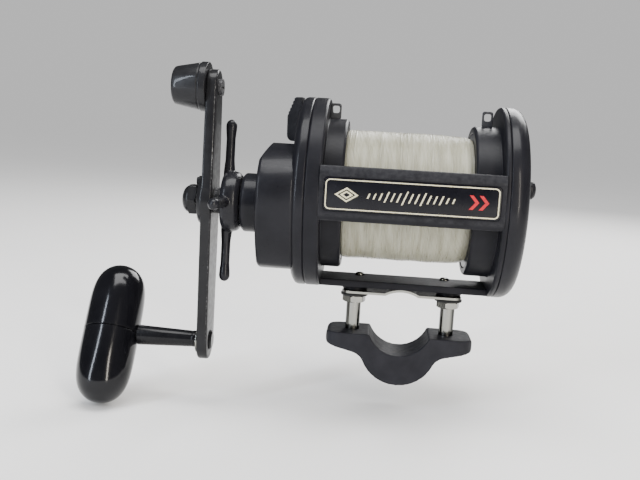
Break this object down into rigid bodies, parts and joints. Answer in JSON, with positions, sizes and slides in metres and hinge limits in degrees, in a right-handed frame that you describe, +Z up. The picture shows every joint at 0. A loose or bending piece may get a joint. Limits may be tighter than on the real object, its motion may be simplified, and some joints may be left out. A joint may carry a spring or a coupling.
{
  "type": "trolling reel",
  "caption": "Star-drag trolling reel with geared spool, crank handle with torpedo grip and counterweight, harness lugs and a saddle clamp for the rod.",
  "frame": {"origin": "centre of the rod that the clamp holds, midway between the two clamp studs", "axes": "+X along the spool towards the tail plate, -X towards the handle; +Z up from the rod through the spool; -Y towards the name plate, so Y runs along the rod"},
  "size_m": [0.2073, 0.1047, 0.1597],
  "materials": {
    "graphite": "satin fibre-filled plastic",
    "side_black": "semi-gloss moulded",
    "plate_black": "gloss",
    "plate_line": "champagne foil",
    "steel": "machined",
    "dark_steel": "black oxide",
    "chrome": "polished",
    "rubber_black": "matte",
    "bronze": "machined",
    "spool_alu": "black anodised",
    "line_mono": "monofilament, wound",
    "fibre": "pressed fibre",
    "arm_black": "black anodised, satin",
    "stem_black": "black anodised, gloss",
    "grip_black": "gloss moulded",
    "star_black": "black anodised, gloss",
    "lever_black": "semi-gloss moulded",
    "clamp_black": "matte powder coat"
  },
  "bodies": {
    "frame": {"frame": "graphite", "name_plate": "plate_black", "name_plate_border": "plate_line", "handle_side_plate": "side_black", "gear_bridge": "steel", "handle_plate_screws": "dark_steel", "bridge_screws": "steel", "tail_side_plate": "side_black", "tail_plate_screws": "dark_steel", "harness_lug_left": "dark_steel", "harness_lug_right": "dark_steel", "foot_strap": "chrome", "foot_screws": "chrome", "clamp_studs": "chrome", "stud_nuts": "chrome", "stud_washers": "rubber_black", "handle_side_bearing": "steel", "tail_side_bearing": "steel", "shaft_bush": "bronze", "dog_pivot": "steel", "dog_spring": "steel", "click_spring": "steel"},
    "spool": {"spool": "spool_alu", "line": "line_mono", "spool_shaft": "steel", "click_ratchet": "steel"},
    "pinion": {"pinion_gear": "bronze"},
    "crank": {"drive_shaft": "steel", "ratchet_wheel": "steel", "main_gear": "bronze", "drag_washers_fibre": "fibre", "drag_washers_metal": "steel", "pressure_plate": "steel", "spring_washers": "steel", "handle_arm": "arm_black", "arm_spacer": "dark_steel", "counterweight": "arm_black", "counterweight_screw": "dark_steel", "handle_nut": "arm_black", "nut_retainer": "arm_black", "handle_stem": "stem_black", "stem_washer": "chrome"},
    "grip": {"grip_upper": "grip_black", "grip_lower": "grip_black"},
    "star": {"star_wheel": "star_black", "star_nut": "steel"},
    "freespool_lever": {"freespool_lever": "lever_black", "lever_shaft": "steel", "clutch_cam": "steel"},
    "clutch_yoke": {"clutch_yoke": "bronze"},
    "anti_reverse_dog": {"anti_reverse_dog": "steel"},
    "clicker": {"click_button": "lever_black", "click_pawl": "steel"},
    "bearing_cap": {"bearing_cap": "lever_black"},
    "rod_clamp": {"rod_clamp": "clamp_black"},
    "clamp_nut_left": {"clamp_nut_left": "chrome"},
    "clamp_nut_right": {"clamp_nut_right": "chrome"}
  },
  "joints": [
    {"name": "crank_spin", "type": "hinge", "parent": "frame", "child": "crank", "pos_m": [0, -0.02219, 0.0552], "axis": [1, 0, 0], "continuous": true},
    {"name": "spool_spin", "type": "hinge", "parent": "frame", "child": "spool", "pos_m": [0, 0, 0.0602], "axis": [1, 0, 0], "continuous": true},
    {"name": "pinion_slide", "type": "slide", "parent": "spool", "child": "pinion", "axis": [-1, 0, 0], "range_m": [0, 0.0025]},
    {"name": "star_turn", "type": "hinge", "parent": "crank", "child": "star", "pos_m": [0, -0.02219, 0.0552], "axis": [1, 0, 0], "range_deg": [-180, 180]},
    {"name": "grip_spin", "type": "hinge", "parent": "crank", "child": "grip", "pos_m": [0, -0.02219, -0.0113], "axis": [1, 0, 0], "continuous": true},
    {"name": "lever_throw", "type": "hinge", "parent": "frame", "child": "freespool_lever", "pos_m": [0, 0.013, 0.0702], "axis": [-1, 0, 0], "range_deg": [0, 30]},
    {"name": "yoke_slide", "type": "slide", "parent": "frame", "child": "clutch_yoke", "axis": [-1, 0, 0], "range_m": [0, 0.0025]},
    {"name": "dog_swing", "type": "hinge", "parent": "frame", "child": "anti_reverse_dog", "pos_m": [0, -0.02219, 0.0402], "axis": [1, 0, 0], "range_deg": [0, 10]},
    {"name": "click_slide", "type": "slide", "parent": "frame", "child": "clicker", "axis": [0, 0.8944, -0.4472], "range_m": [0, 0.0028]},
    {"name": "cap_turn", "type": "hinge", "parent": "frame", "child": "bearing_cap", "pos_m": [0, 0, 0.0602], "axis": [1, 0, 0], "range_deg": [-180, 180]},
    {"name": "clamp_drop", "type": "slide", "parent": "frame", "child": "rod_clamp", "axis": [0, 0, -1], "range_m": [0, 0.0015]},
    {"name": "nut_left_turn", "type": "hinge", "parent": "rod_clamp", "child": "clamp_nut_left", "pos_m": [-0.0229, 0, 0], "axis": [0, 0, 1], "range_deg": [-180, 180]},
    {"name": "nut_right_turn", "type": "hinge", "parent": "rod_clamp", "child": "clamp_nut_right", "pos_m": [0.0229, 0, 0], "axis": [0, 0, 1], "range_deg": [-180, 180]}
  ],
  "couplings": [
    {"joint": "spool_spin", "follows": "crank_spin", "ratio": -4},
    {"joint": "yoke_slide", "follows": "lever_throw", "m_per_rad": 0.0047746},
    {"joint": "pinion_slide", "follows": "lever_throw", "m_per_rad": 0.0047746}
  ]
}
